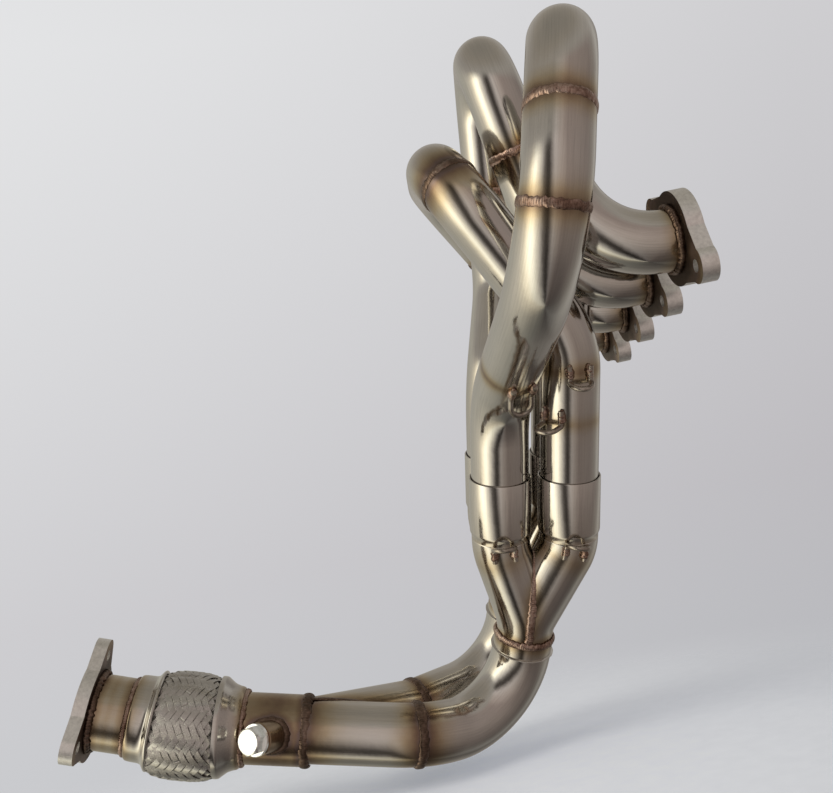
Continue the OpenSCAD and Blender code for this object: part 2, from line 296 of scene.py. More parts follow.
M_TUBE = steel("tube_steel")
M_MERGE = steel("merge_steel", rough=0.13)
M_PIPE = steel("pipe_steel", rough=0.17, streak=0.7, bump=0.12)
M_CAP = steel("ferrule_steel", rough=0.15, streak=0.3, bump=0.1)
M_WELD = plain_metal("weld_tint", [(0.30, (0.11, 0.07, 0.055)), (0.42, (0.22, 0.14, 0.11)),
                                   (0.52, (0.38, 0.27, 0.225)), (0.62, (0.50, 0.39, 0.34)),
                                   (0.74, (0.60, 0.52, 0.47))], rough=0.30, scale=420, bump=0.5)
M_WELD_PINK = plain_metal("weld_pink", [(0.30, (0.30, 0.18, 0.14)), (0.45, (0.50, 0.33, 0.27)),
                                        (0.58, (0.66, 0.49, 0.42)), (0.72, (0.72, 0.62, 0.56))],
                          rough=0.28, scale=420, bump=0.5)
M_WELD_DARK = plain_metal("weld_dark", [(0.30, (0.06, 0.042, 0.034)), (0.45, (0.12, 0.082, 0.062)),
                                        (0.58, (0.22, 0.155, 0.125)), (0.72, (0.36, 0.29, 0.245))],
                          rough=0.34, scale=420, bump=0.6)
M_WIRE = plain_metal("hook_wire", [(0.3, (0.20, 0.16, 0.13)), (0.5, (0.40, 0.36, 0.32)),
                                   (0.7, (0.58, 0.54, 0.49))], rough=0.30, scale=350, bump=0.3)
M_BRAID = plain_metal("braid_wire", [(0.3, (0.42, 0.405, 0.385)), (0.5, (0.56, 0.55, 0.535)),
                                     (0.7, (0.68, 0.67, 0.655))], rough=0.22, scale=260, bump=0.05)
M_ZINC = plain_metal("zinc_plate", [(0.3, (0.84, 0.86, 0.87)), (0.5, (0.91, 0.93, 0.93)),
                                    (0.7, (0.96, 0.97, 0.96))], rough=0.20, scale=180, bump=0.05)
M_COPPER = plain_metal("copper", [(0.3, (0.55, 0.27, 0.17)), (0.5, (0.72, 0.40, 0.28)),
                                  (0.7, (0.80, 0.52, 0.38))], rough=0.32, scale=300, bump=0.3)
# painted shade: steel of the flex bellows and liner made dark for the shade inside the braid
M_INNER_PAINTED_SHADE = plain_metal("inner_steel_painted_shade", [(0.3, (0.16, 0.145, 0.13)), (0.5, (0.27, 0.255, 0.24)),
                                      (0.7, (0.36, 0.345, 0.33))], rough=0.45, scale=200, bump=0.4)


PLATE = [(0.0, (0.90, 0.90, 0.91)), (0.12, (0.84, 0.835, 0.83)), (0.24, (0.72, 0.69, 0.65))] + TINT[3:]


def plate_steel(name, centre, back_way, pitch=0.0):
    """Flange plate: bright machined edge, faces darkened by the weld round the tube.
    back_way points out of the welded face; pitch repeats the pattern along Y."""
    m, nt, bsdf = new_material(name)
    co_node = node(nt, "ShaderNodeTexCoord")
    co, nor = co_node.outputs["Object"], co_node.outputs["Normal"]
    d = node(nt, "ShaderNodeVectorMath", {0: co, 1: tuple(centre)}, operation="SUBTRACT").outputs[0]
    if pitch:
        q = node(nt, "ShaderNodeSeparateXYZ", {0: d}).outputs
        y = maths(nt, "WRAP", q[1], pitch / 2, -pitch / 2)
        d = node(nt, "ShaderNodeCombineXYZ", {0: q[0], 1: y, 2: q[2]}).outputs[0]
    along = node(nt, "ShaderNodeVectorMath", {0: d, 1: tuple(back_way)}, operation="PROJECT").outputs[0]
    flat = node(nt, "ShaderNodeVectorMath", {0: d, 1: along}, operation="SUBTRACT").outputs[0]
    r = node(nt, "ShaderNodeVectorMath", {0: flat}, operation="LENGTH").outputs["Value"]
    facing = node(nt, "ShaderNodeVectorMath", {0: nor, 1: tuple(back_way)},
                  operation="DOT_PRODUCT").outputs["Value"]
    blotch = noise_at(nt, co, 55, 3, 0.55)
    fine = noise_at(nt, co, 420, 4, 0.6)
    heat = node(nt, "ShaderNodeMapRange", {0: r, 1: 0.024, 2: 0.052, 3: 1.0, 4: 0.50}).outputs[0]
    heat = maths(nt, "MULTIPLY_ADD", maths(nt, "SUBTRACT", blotch, 0.5), 0.35, heat, clamp=True)
    back = node(nt, "ShaderNodeMapRange", {0: facing, 1: 0.55, 2: 0.85, 3: 0.0, 4: 1.0}).outputs[0]
    heat = maths(nt, "MULTIPLY", heat, back)
    heat = maths(nt, "ADD", heat, maths(nt, "MULTIPLY", blotch, 0.22), clamp=True)
    worn = node(nt, "ShaderNodeMix", {"Factor": 1.0, 6: ramp(nt, heat, PLATE)}, data_type="RGBA",
                blend_type="MULTIPLY")
    nt.links.new(ramp(nt, fine, [(0.3, (0.85, 0.85, 0.85)), (0.7, (1.12, 1.12, 1.11))]), worn.inputs[7])
    nt.links.new(worn.outputs[2], bsdf.inputs["Base Color"])
    bsdf.inputs["Metallic"].default_value = 1.0
    rough = maths(nt, "MULTIPLY_ADD", maths(nt, "SUBTRACT", fine, 0.5), 0.25, 0.38)
    nt.links.new(maths(nt, "MULTIPLY_ADD", heat, 0.12, rough, clamp=True), bsdf.inputs["Roughness"])
    b = node(nt, "ShaderNodeBump", {"Strength": 0.3, "Distance": 0.0002, "Height": fine})
    nt.links.new(b.outputs[0], bsdf.inputs["Normal"])
    return m


M_PLATE = plate_steel("port_plate", (0, 0, 0), (-1, 0, 0), PITCH * MM)
M_PLATE_OUT = plate_steel("outlet_plate", FLEX * MM, -OUT_DIR)


# ---------------------------------------------------------------- mesh building
def build(name, verts, faces, mat, body, nodes=(), heat=None, straight=None, smooth=True):
    """Mesh object from points in mm; heat and straight become the attributes that steel() reads."""
    me = bpy.data.meshes.new(name)
    me.from_pydata([v * MM for v in verts], [], faces)
    me.update()
    if smooth:
        me.shade_smooth()
    mats = mat if isinstance(mat, (list, tuple)) else [mat]
    for m in mats:
        me.materials.append(m)
    if heat is not None:
        me.attributes.new("weld_tint", "FLOAT", "POINT").data.foreach_set("value", heat)
        flat = [c * MM for v in straight for c in v]
        me.attributes.new("straight", "FLOAT_VECTOR", "POINT").data.foreach_set("vector", flat)
    ob = bpy.data.objects.new(name, me)
    bpy.context.scene.collection.objects.link(ob)
    if body:
        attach(ob, body)
    if nodes:
        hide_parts(*nodes)
    return ob


def hot(s, welds):
    """Heat tint level at arc length s; welds are (place, level, reach)."""
    h = 0.0
    for place, level, reach in welds:
        h = max(h, level * math.exp(-(abs(s - place) / reach) ** 1.35))
    return h


def shell(starts, seg):
    """Faces of a closed sweep: each ring of seg points joins the next, and the last joins the first."""
    faces, n = [], len(starts)
    for i in range(n):
        a, b = starts[i], starts[(i + 1) % n]
        for k in range(seg):
            j = (k + 1) % seg
            faces.append((a + k, a + j, b + j, b + k))
    return faces


def tube_data(line, s0, s1, ro, wall, welds, seg=72, step=2.0):
    """Vertices of a double-walled tube: outer rings, then inner rings in reverse."""
    rings = line.rings(s0, s1, step)
    verts, heat, straight, starts = [], [], [], []
    order = [(r, ro) for r in rings] + [(r, ro - wall) for r in reversed(rings)]
    for (s, p, _, e1, e2), rad in order:
        starts.append(len(verts))
        h = hot(s, welds)
        for k in range(seg):
            a = TAU * k / seg
            n = e1 * math.cos(a) + e2 * math.sin(a)
            verts.append(p + n * rad)
            heat.append(h)
            straight.append((ro * math.cos(a), ro * math.sin(a), s))
    return verts, shell(starts, seg), heat, straight


def tube(name, line, s0, s1, od, welds, body, nodes=(), mat=None, wall=1.5):
    """Piece of tube along a line from arc length s0 to s1."""
    v, f, h, st = tube_data(line, s0, s1, od / 2, wall, welds)
    return build(name, v, f, mat or M_TUBE, body, nodes, h, st)


def lathe(name, at, axis, profile, body, mat, nodes=(), seg=96, welds=(), smooth=True):
    """Closed solid of revolution; profile is a closed loop of (z, r) in mm."""
    e1 = axis.cross(Vector((0, 0, 1)) if abs(axis.z) < 0.9 else Vector((1, 0, 0))).normalized()
    e2 = axis.cross(e1)
    verts, heat, st, starts = [], [], [], []
    for z, r in profile:
        starts.append(len(verts))
        for k in range(seg):
            a = TAU * k / seg
            verts.append(at + axis * z + (e1 * math.cos(a) + e2 * math.sin(a)) * r)
            heat.append(hot(z, welds))
            st.append((r * math.cos(a), r * math.sin(a), z))
    return build(name, verts, shell(starts, seg), mat, body, nodes, heat, st, smooth)


def sharpen(ob, deg=32):
    """Keeps true edges crisp under smooth shading."""
    me = ob.data
    bm = bmesh.new()
    bm.from_mesh(me)
    bmesh.ops.recalc_face_normals(bm, faces=bm.faces)
    for e in bm.edges:
        if len(e.link_faces) == 2:
            e.smooth = e.calc_face_angle(0) < math.radians(deg)
    bm.to_mesh(me)
    bm.free()
    return ob


def catmull(points, sub=6):
    """Smooth open profile through points."""
    out, n = [], len(points)
    for i in range(n - 1):
        p0, p1, p2, p3 = (points[max(i - 1, 0)], points[i], points[i + 1], points[min(i + 2, n - 1)])
        for k in range(sub):
            t = k / sub
            out.append(tuple(0.5 * (2 * b + (c - a) * t + (2 * a - 5 * b + 4 * c - d) * t * t
                                    + (3 * b - a - 3 * c + d) * t ** 3)
                             for a, b, c, d in zip(p0, p1, p2, p3)))
    out.append(tuple(points[-1]))
    return out


def bead_data(path, width, height, closed=True, pitch=1.7, seed=0.0):
    """Rippled weld bead; path is a list of (point, outward normal) in mm."""
    pts = [p for p, n in path]
    n = len(pts)
    dist = [0.0]
    for i in range(1, n + (1 if closed else 0)):
        dist.append(dist[-1] + (pts[i % n] - pts[i - 1]).length)
    total = dist[-1]
    ripples = max(4, round(total / pitch))
    steps = ripples * 7
    sec, verts, faces = 11, [], []
    j = 0
    count = steps if closed else steps + 1
    for i in range(count):
        d = total * i / steps
        while j < len(dist) - 2 and dist[j + 1] < d:
            j += 1
        w = (d - dist[j]) / max(1e-9, dist[j + 1] - dist[j])
        pa, na = path[j % n]
        pb, nb = path[(j + 1) % n]
        p, nor = pa.lerp(pb, w), na.lerp(nb, w).normalized()
        t = (pb - pa).normalized()
        side = t.cross(nor).normalized()
        phase = (ripples * i / steps) % 1.0
        q = noise.noise(Vector((p.x * 0.13 + seed, p.y * 0.13, p.z * 0.13)))
        q2 = noise.noise(Vector((p.x * 0.4, p.y * 0.4 + seed, p.z * 0.4)))
        rip = 0.72 + 0.28 * math.sqrt(max(0.0, 1 - phase * phase)) if phase < 1 else 0.72
        wid = width * (0.92 + 0.08 * rip + 0.16 * q + 0.08 * q2) / 2
        hei = height * (rip + 0.22 * q)
        taper = 1.0 if closed else min(1.0, 0.25 + min(d, total - d) / (0.8 * width))
        shift = 0.16 * q2 * width
        for k in range(sec):
            u = -1 + 2 * k / (sec - 1)
            lag = (1 - u * u) * 0.30 * pitch
            z = hei * taper * (1 - abs(u) ** 2.4) + (-0.35 if abs(u) == 1 else 0.0)
            verts.append(p + side * (u * wid * taper + shift) + nor * z + t * lag)
    for i in range(count if closed else count - 1):
        a, b = i * sec, ((i + 1) % count) * sec
        for k in range(sec - 1):
            faces.append((a + k, b + k, b + k + 1, a + k + 1))
        faces.append((a + sec - 1, b + sec - 1, b, a))
    if not closed:
        faces.append(tuple(range(sec)))
        faces.append(tuple((count - 1) * sec + k for k in reversed(range(sec))))
    return verts, faces


def bead(name, path, width, height, body, mat=None, **shape):
    """Weld bead along a path, riding on a body."""
    verts, faces = bead_data(path, width, height, **shape)
    return build(name, verts, faces, mat or M_WELD, body)


def ring_path(at, axis, r, n=120):
    """Circle round an axis as (point, outward normal)."""
    e1 = axis.cross(Vector((0, 0, 1)) if abs(axis.z) < 0.9 else Vector((1, 0, 0))).normalized()
    e2 = axis.cross(e1)
    out = []
    for k in range(n):
        a = TAU * k / n
        d = e1 * math.cos(a) + e2 * math.sin(a)
        out.append((at + d * r, d.copy()))
    return out


def ring_bead(name, at, axis, r, body, width=5.0, height=1.2, mat=None, seed=0.0, pitch=1.7):
    """Weld bead round a tube."""
    path = [(p, d.normalized()) for p, d in ring_path(at, axis, r)]
    return bead(name, path, width, height, body, mat=mat, seed=seed, pitch=pitch)


# ---------------------------------------------------------------- primaries
ROOT, COL, CORE, OUT = "header", "collector", "flex_core", "outlet"
# segments of each primary as (name, start, end) by arc length, with a gap under each weld
CUTS = {
    1: [("port_bend", 2.2, 149.8), ("top_bend", 150.2, 304.8), ("upper_leg", 305.2, 365.8),
        ("tail", 366.2, None)],
    2: [("port_bend", 2.2, 173.8), ("top_bend", 174.2, 407.8), ("tail", 408.2, None)],
    3: [("port_bend", 2.2, 129.8), ("top_bend", 130.2, 329.8), ("tail", 330.2, None)],
    4: [("port_bend", 2.2, 164.8), ("top_bend", 165.2, 404.8), ("tail", 405.2, None)],
}
# heat tint along each primary as (place, level, reach)
WELDS = {
    1: [(10, 0.95, 11), (150, 0.72, 9), (305, 0.80, 12), (366, 0.74, 11), (508, 0.62, 8),
        (640, 0.14, 30)],
    2: [(10, 0.95, 12), (174, 0.78, 12), (408, 0.66, 10), (600, 0.12, 30)],
    3: [(10, 0.95, 12), (130, 0.74, 10), (330, 0.70, 10), (500, 0.12, 30)],
    4: [(10, 0.95, 12), (165, 0.74, 10), (405, 0.90, 16), (570, 0.55, 9), (610, 0.42, 9)],
}
for n, cuts in CUTS.items():
    line = LINE[n]
    for part, a, b in cuts:
        b = b or line.length - 0.2
        tube(f"primary_{n}_{part}_tube", line, a, b, 45, WELDS[n], ROOT,
             [f"primary_{n}_{part}"])
    for k, s in enumerate(c[2] + 0.2 for c in cuts[:-1]):
        p, t = line.at(s)
        ring_bead(f"primary_{n}_weld_{k + 1}", p, t, 22.4, ROOT, 7.0, 1.0,
                  mat={4: M_WELD_DARK, 2: M_WELD_PINK}.get(n, M_WELD), seed=n * 7 + k)

# one fillet weld round the tube behind each port flange
for n in range(4):
    at = Vector((-FLANGE_T, PITCH * n, 0))
    ring_bead(f"port_{n + 1}_fillet_weld", at + Vector((-1.6, 0, 0)), Vector((-1, 0, 0)), 22.7, ROOT,
              7.0, 2.8, mat=M_WELD_DARK, seed=40 + n, pitch=2.0)


# ---------------------------------------------------------------- slip sockets and pair merges
def arm(side, row, name):
    """Arm of a pair merge, cut off at the plane where the two arms meet; returns the cut's points."""
    line = LINE[(side, row)]
    ring_s = line.length
    heat = [(ring_s, 0.78, 10), (16, 0.34, 16)]
    v, f, h, st = tube_data(line, 0.2, ring_s - 0.2, 23, 1.5, heat, seg=96, step=1.5)
    co = slip(0, row * DY, -60)
    no = SLIP_ROT @ (rot("Y", 6.2) @ Vector((1, 0, 0)))
    for i, p in enumerate(v):
        d = abs((p - co).dot(no))
        low = max(0.0, min(1.0, (-(p - co).dot(UZ) - 6) / 30))
        h[i] = max(h[i], 0.72 * low * math.exp(-(d / 9) ** 1.3))
    ob = build(name + "_arm", v, f, M_MERGE, None, (), h, st)
    bm = bmesh.new()
    bm.from_mesh(ob.data)
    res = bmesh.ops.bisect_plane(bm, geom=bm.verts[:] + bm.edges[:] + bm.faces[:],
                                 plane_co=(co + no * 0.1 * side) * MM, plane_no=no,
                                 clear_outer=side < 0, clear_inner=side > 0)
    edge = [e for e in res["geom_cut"] if isinstance(e, bmesh.types.BMEdge)]
    cut = [vert.co / MM for vert in res["geom_cut"] if isinstance(vert, bmesh.types.BMVert)]
    bmesh.ops.holes_fill(bm, edges=[e for e in bm.edges if e.is_boundary], sides=0)
    bmesh.ops.recalc_face_normals(bm, faces=bm.faces)
    for e in edge:
        if e.is_valid:
            e.smooth = False
    bm.to_mesh(ob.data)
    bm.free()
    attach(ob, COL)
    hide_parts(name)
    return cut


def seam(row, cut, name):
    """Bead along the outer line where the two arms meet, front and back as one path."""
    mid = slip(0, row * DY, 0)
    centre = LINE[(-1, row)]
    outer = []
    for p in cut:
        best = min((centre.at(centre.length * k / 60)[0] - p).length for k in range(61))
        if best > 22.2:
            outer.append(p)
    front = sorted((p for p in outer if (p - mid).dot(UY) < 0), key=lambda p: (p - mid).dot(UZ))
    back = sorted((p for p in outer if (p - mid).dot(UY) >= 0), key=lambda p: -(p - mid).dot(UZ))
    path = []
    for p in front + back:
        if path and (path[-1] - p).length < 0.8:
            continue
        path.append(p)
    out = []
    for p in path:
        side = (p - mid).dot(UY)
        top = max(0.0, 1 - abs(side) / 16)
        nor = (UY * (1 if side > 0 else -1) * (1 - top) + UZ * top).normalized()
        out.append((p + nor * 0.6, nor))
    bead(name, out, 7.0, 1.5, COL, closed=False, pitch=1.7, seed=row * 3.1)


# slip socket with a rolled lip, as (z, r) from its mouth down
SOCKET = [(-44.0, 22.9), (-42, 22.92), (-2, 22.92), (-0.5, 22.95), (0.0, 23.15), (0.15, 23.6),
          (0.0, 24.1), (-0.4, 24.3), (-43.2, 24.3), (-44.2, 24.22), (-45.2, 23.9), (-46.6, 23.3),
          (-48.0, 23.06), (-50.0, 23.0), (-50.0, 21.5), (-47.4, 21.5), (-45.6, 22.3)]
for row, rname in ((-1, "front"), (1, "rear")):
    cuts = {}
    for side, sname in ((-1, "left"), (1, "right")):
        name = f"{rname}_merge_{sname}"
        cuts[side] = arm(side, row, name)
        ob = lathe(name + "_socket", slip(side * DX, row * DY, 0), UZ, SOCKET, COL,
                   M_MERGE, [name], welds=[(-52, 0.34, 9)])
        sharpen(ob)
    seam(row, cuts[-1], f"{rname}_merge_seam_weld")
    p = slip(-9, row * DY, -137)
    t = LINE["f" if row < 0 else "r"].at(0)[1]
    ring_bead(f"{rname}_merge_ring_weld", p, t, 23.6, COL, *((6.4, 1.7) if row < 0 else (5.0, 1.1)),
              seed=row * 5.3)

# ---------------------------------------------------------------- secondaries and final merge
SEC = {"f": ("front", 142), "r": ("rear", 150)}     # name, and arc length of the weld to the final merge
for key, (rname, s) in SEC.items():
    line = LINE[key]
    heat = [(0, 0.66, 9), (s, 0.86, 14), (line.length, 0.86, 20)]
    tube(f"{rname}_secondary_tube", line, 0.2, s - 0.2, 48, heat, COL,
         [f"{rname}_secondary"], M_MERGE)
    p, t = line.at(s)
    ring_bead(f"{rname}_secondary_weld", p, t, 24.0, COL, 8.0, 1.5, mat=M_WELD_DARK, seed=11 + s)
    p, t = line.at(12)
    ring_bead(f"{rname}_secondary_step", p, t, 23.8, COL, 2.0, 0.28, mat=M_MERGE, seed=2, pitch=30)

no = (LINE["f"].parts[-1][3] - LINE["r"].parts[-1][3]).normalized()
seam_points = []
for key, side in (("f", -1), ("r", 1)):
    rname, s = SEC[key]
    line = LINE[key]
    heat = [(s, 0.86, 14), (line.length, 0.9, 24)]
    v, f, h, st = tube_data(line, s + 0.2, line.length - 0.2, 24, 1.5, heat, seg=96, step=1.5)
    for i, p in enumerate(v):
        d = abs((p - FINAL).dot(no))
        h[i] = max(h[i], 0.80 * math.exp(-(d / 11) ** 1.3))
    ob = build(f"final_merge_{rname}_arm", v, f, M_PIPE, None, (), h, st)
    bm = bmesh.new()
    bm.from_mesh(ob.data)
    res = bmesh.ops.bisect_plane(bm, geom=bm.verts[:] + bm.edges[:] + bm.faces[:],
                                 plane_co=(FINAL + no * 0.1 * side) * MM, plane_no=no,
                                 clear_outer=side < 0, clear_inner=side > 0)
    if side < 0:
        seam_points = [x.co / MM for x in res["geom_cut"] if isinstance(x, bmesh.types.BMVert)]
    bmesh.ops.holes_fill(bm, edges=[e for e in bm.edges if e.is_boundary], sides=0)
    bmesh.ops.bisect_plane(bm, geom=bm.verts[:] + bm.edges[:] + bm.faces[:], plane_co=FINAL * MM,
                           plane_no=IN_DIR, clear_outer=True)
    bmesh.ops.holes_fill(bm, edges=[e for e in bm.edges if e.is_boundary], sides=0)
    bmesh.ops.recalc_face_normals(bm, faces=bm.faces)
    bm.to_mesh(ob.data)
    bm.free()
    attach(ob, COL)
    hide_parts(f"final_merge_{rname}")
line = LINE["f"]
outer = [p for p in seam_points
         if min((line.at(line.length * k / 90)[0] - p).length for k in range(50, 91)) > 23.2]
for tag, sign in (("upper", 1), ("lower", -1)):
    pts = sorted((p for p in outer if (p - line.at(line.length - 30)[0]).z * sign > 0), key=lambda p: p.x)
    path = []
    for p in pts:
        if not path or (path[-1][0] - p).length > 0.8:
            path.append((p, Vector((0, 0, sign))))
    if len(path) > 4:
        bead(f"final_merge_{tag}_weld", [(p + n * 0.4, n) for p, n in path], 7.0, 1.6, COL,
             closed=False, mat=M_WELD_DARK, seed=9)
ring_bead("final_merge_ring_weld", FINAL, IN_DIR, 26.0, COL, 9.0, 2.2, mat=M_WELD_DARK, seed=17)


# ---------------------------------------------------------------- sensor pipe, boss and plug
class Straight:
    """A straight centreline with the same calls as Line."""

    def __init__(self, a, d):
        """Line from point a in direction d."""
        self.a, self.d = a, d

    def at(self, s):
        """Point and direction at distance s."""
        return self.a + self.d * s, self.d.copy()

    rings = Line.rings


PIPE_LEN = (FLEX - FINAL).length - 44
pipe = Straight(FINAL, IN_DIR)
v, f, h, st = tube_data(pipe, 0.2, PIPE_LEN - 0.1, 27, 1.5,
                        [(0, 0.9, 16), (PIPE_LEN / 2, 0.66, 60)], 96, 1.5)
for i, p in enumerate(v):
    d = p - BOSS_AT
    r = (d - BOSS_DIR * d.dot(BOSS_DIR)).length
    if d.dot(BOSS_DIR) > 0:
        h[i] = max(h[i], 0.9 * math.exp(-(max(0, r - 12) / 11) ** 1.5))
build("sensor_pipe_tube", v, f, M_PIPE, COL, ["sensor_pipe"], h, st)

BOSS = [(20, 9.2), (43.4, 9.2), (44, 9.8), (44, 11.2), (43.2, 12), (20, 12)]
sharpen(lathe("sensor_boss_ring", BOSS_AT, BOSS_DIR, BOSS, COL, M_PIPE,
              ["sensor_boss"], seg=72, welds=[(26, 0.92, 12), (44, 0.62, 12)]))
BOSS_X = BOSS_DIR.cross(Vector((0, 0, 1))).normalized()
BOSS_Y = BOSS_DIR.cross(BOSS_X)
# weld where the boss meets the pipe: each point is moved along the boss until it is on the pipe
path = []
for k in range(140):
    a = TAU * k / 140
    d = BOSS_X * math.cos(a) + BOSS_Y * math.sin(a)
    q = BOSS_AT + d * 12.4
    lo, hi = 0.0, 60.0
    for _ in range(40):
        m = (lo + hi) / 2
        w = q + BOSS_DIR * m - FINAL
        if (w - IN_DIR * w.dot(IN_DIR)).length < 27.1:
            lo = m
        else:
            hi = m
    w = q + BOSS_DIR * lo
    u = w - FINAL
    n = (u - IN_DIR * u.dot(IN_DIR)).normalized()
    path.append((w - d * 0.3, (d * 0.8 + n * 0.9).normalized()))
bead("sensor_boss_weld", path, 6.4, 2.0, COL, mat=M_WELD_DARK, seed=23, pitch=1.9)

sharpen(lathe("plug_washer_ring", BOSS_AT, BOSS_DIR,
              [(44.1, 9.2), (45.4, 9.2), (45.4, 10.7), (45.1, 11), (44.4, 11), (44.1, 10.7)], COL,
              M_COPPER, ["plug_washer"], seg=72))


def hex_plug():
    """Sensor plug: shank, round collar and chamfered hex head; c rings are round, h and k hexagonal."""
    base = BOSS_AT + 45.7 * BOSS_DIR
    turn = math.radians(10)
    af = 19.0
    prof = [("c", 8.8, -15), ("c", 8.8, -0.1), ("c", 8.8, 0.0), ("c", 11.6, 0.0), ("c", 12.0, 0.4),
            ("c", 12.0, 2.0), ("c", 11.5, 2.5), ("h", 1.0, 2.5), ("h", 1.0, 9.0), ("k", 1.0, 9.9),
            ("c", 8.6, 10.3), ("c", 0.9, 10.3)]
    seg, verts, starts = 72, [], []
    for kind, r, z in prof:
        starts.append(len(verts))
        for k in range(seg):
            a = TAU * k / seg
            part = (a % (TAU / 6)) - TAU / 12
            hexr = af / 2 / math.cos(part)
            if kind == "h":
                rad, zz = hexr, z - (0.9 * max(0.0, (hexr - af / 2) / (af / 2 * 0.1547)) if z > 5 else 0)
            elif kind == "k":
                rad, zz = min(hexr - 0.25, af / 2), z
            else:
                rad, zz = r, z
            b = a + turn
            verts.append(base + BOSS_DIR * zz + (BOSS_X * math.cos(b) + BOSS_Y * math.sin(b)) * rad)
    faces = []
    for i in range(len(starts) - 1):
        for k in range(seg):
            j = (k + 1) % seg
            faces.append((starts[i] + k, starts[i] + j, starts[i + 1] + j, starts[i + 1] + k))
    faces.append(tuple(reversed(range(seg))))
    faces.append(tuple(starts[-1] + k for k in range(seg)))
    ob = build("sensor_plug_head", verts, faces, M_ZINC, COL, ["sensor_plug"])
    sharpen(ob, 18)


hex_plug()

# ---------------------------------------------------------------- flex section and outlet
def capsule(points, wall):
    """Closed profile from an outer outline (z, r) and a wall thickness, ends rolled."""
    outer = catmull(points, 5)
    inner = [(z, r - wall) for z, r in reversed(outer)]
    return outer + inner


sharpen(lathe("flex_inlet_cap", FLEX, IN_DIR,
              capsule([(-43.6, 28.4), (-41.6, 30.6), (-38, 31.6), (-34, 33.2), (-30, 36.2), (-27.6, 37.9),
                       (-24.2, 38.2)], 1.5), COL, M_CAP, ["flex_inlet_ferrule"],
              welds=[(-45, 0.7, 6)]), 50)
sharpen(lathe("flex_outlet_cap", FLEX, OUT_DIR,
              capsule([(23.6, 37.0), (24.6, 37.8), (26.0, 37.3), (27.4, 35.4), (29.0, 33.4), (31.5, 32.5),
                       (36, 32.3), (40.4, 32.0), (42.4, 31.0), (43.6, 28.5)], 1.5), OUT,
              M_CAP, ["flex_outlet_ferrule"], welds=[(45, 0.7, 8)]), 50)
ring_bead("flex_inlet_weld", FLEX - IN_DIR * 44, IN_DIR, 27.6, COL, 5.0, 2.0, seed=31)
ring_bead("flex_outlet_weld", FLEX + OUT_DIR * 44, OUT_DIR, 28.4, OUT, 5.0, 1.8, seed=33)

stub = Straight(FLEX, OUT_DIR)
tube("outlet_stub_tube", stub, 44.2, 80.0, 57, [(44, 0.74, 10), (58, 0.42, 12), (72, 0.9, 11)],
     OUT, ["outlet_stub"], M_PIPE)
ring_bead("outlet_flange_weld", FLEX + OUT_DIR * 70.8, OUT_DIR, 28.8, OUT, 7.0, 2.8,
          mat=M_WELD_DARK, seed=37, pitch=2.0)


STRANDS, LAY = 24, math.radians(60)     # strands each way, and their angle to the axis
BRAID_R, STRAND_DEPTH = 41.0, 1.0       # outside radius at the middle, and depth of the weave
BRAID_LIP, BRAID_END = 21.5, 26.0       # where the braid goes under the ferrule lips, and its end


def barrel(z):
    """Braid radius; past the lips it drops so that the ends tuck in under them."""
    return (BRAID_R - 3.5 * min(1.0, abs(z) / BRAID_LIP) ** 3
            - 0.95 * max(0.0, abs(z) - BRAID_LIP))


def strand(sign, i, z0, z1):
    """One flat bundle of wires of the braid between heights z0 and z1, as verts and faces."""
    verts, faces = [], []
    delta = TAU / STRANDS
    prof = []
    wires, half = 6, 2.3
    for k in range(wires):
        for q in range(4):
            a = math.pi * q / 4
            prof.append((-half + (k + (1 - math.cos(a)) / 2) * 2 * half / wires, 0.2 * math.sin(a)))
    prof.append((half, 0.0))
    prof += [(half, -0.3), (-half, -0.3)]
    m = len(prof)
    steps = max(2, round(abs(z1 - z0) / 0.55))
    for q in range(steps + 1):
        z = z0 + (z1 - z0) * q / steps
        a = i * delta + sign * z * math.tan(LAY) / (BRAID_R - STRAND_DEPTH)
        lift = sign * 0.52 * math.sin(math.pi * a / delta + math.pi / 4)
        r = barrel(z) - STRAND_DEPTH + lift * min(1.0, max(0.15, (BRAID_LIP - abs(z)) / 3))
        rad = B1 * math.cos(a) + B2 * math.sin(a)
        tan = B2 * math.cos(a) - B1 * math.sin(a)
        end_dir = IN_DIR if z < 0 else OUT_DIR
        lean = min(1.0, abs(z) / BRAID_LIP) * (rad * r).dot(end_dir) / CORE_DIR.dot(end_dir)
        c = FLEX + CORE_DIR * (z - lean) + rad * r
        t = CORE_DIR * math.cos(LAY) + tan * sign * math.sin(LAY)
        w = rad.cross(t).normalized()
        for u, hgt in prof:
            dr = (math.sqrt(max(0.0, r * r - u * u * 0.75)) - r)
            verts.append(c + w * u + rad * (hgt + dr))
    for q in range(steps):
        for k in range(m):
            j = (k + 1) % m
            faces.append((q * m + k, q * m + j, (q + 1) * m + j, (q + 1) * m + k))
    faces.append(tuple(reversed(range(m))))
    faces.append(tuple(steps * m + k for k in range(m)))
    return verts, faces


B1 = CORE_DIR.cross(Vector((0, 0, 1))).normalized()
B2 = CORE_DIR.cross(B1)
for tag, z0, z1, a, b in (("inlet", -BRAID_END, 0.0, COL, CORE), ("outlet", 0.0, BRAID_END, CORE, OUT)):
    verts, faces = [], []
    for sign in (-1, 1):
        for i in range(STRANDS):
            vv, ff = strand(sign, i, z0, z1)
            k = len(verts)
            verts += vv
            faces += [tuple(x + k for x in q) for q in ff]
    ob = build(f"flex_braid_{tag}_half", verts, faces, M_BRAID, None, (), None, None)
    bm = bmesh.new()
    bm.from_mesh(ob.data)
    bmesh.ops.recalc_face_normals(bm, faces=bm.faces)
    bm.to_mesh(ob.data)
    bm.free()
    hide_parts("flex_braid")
    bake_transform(ob)

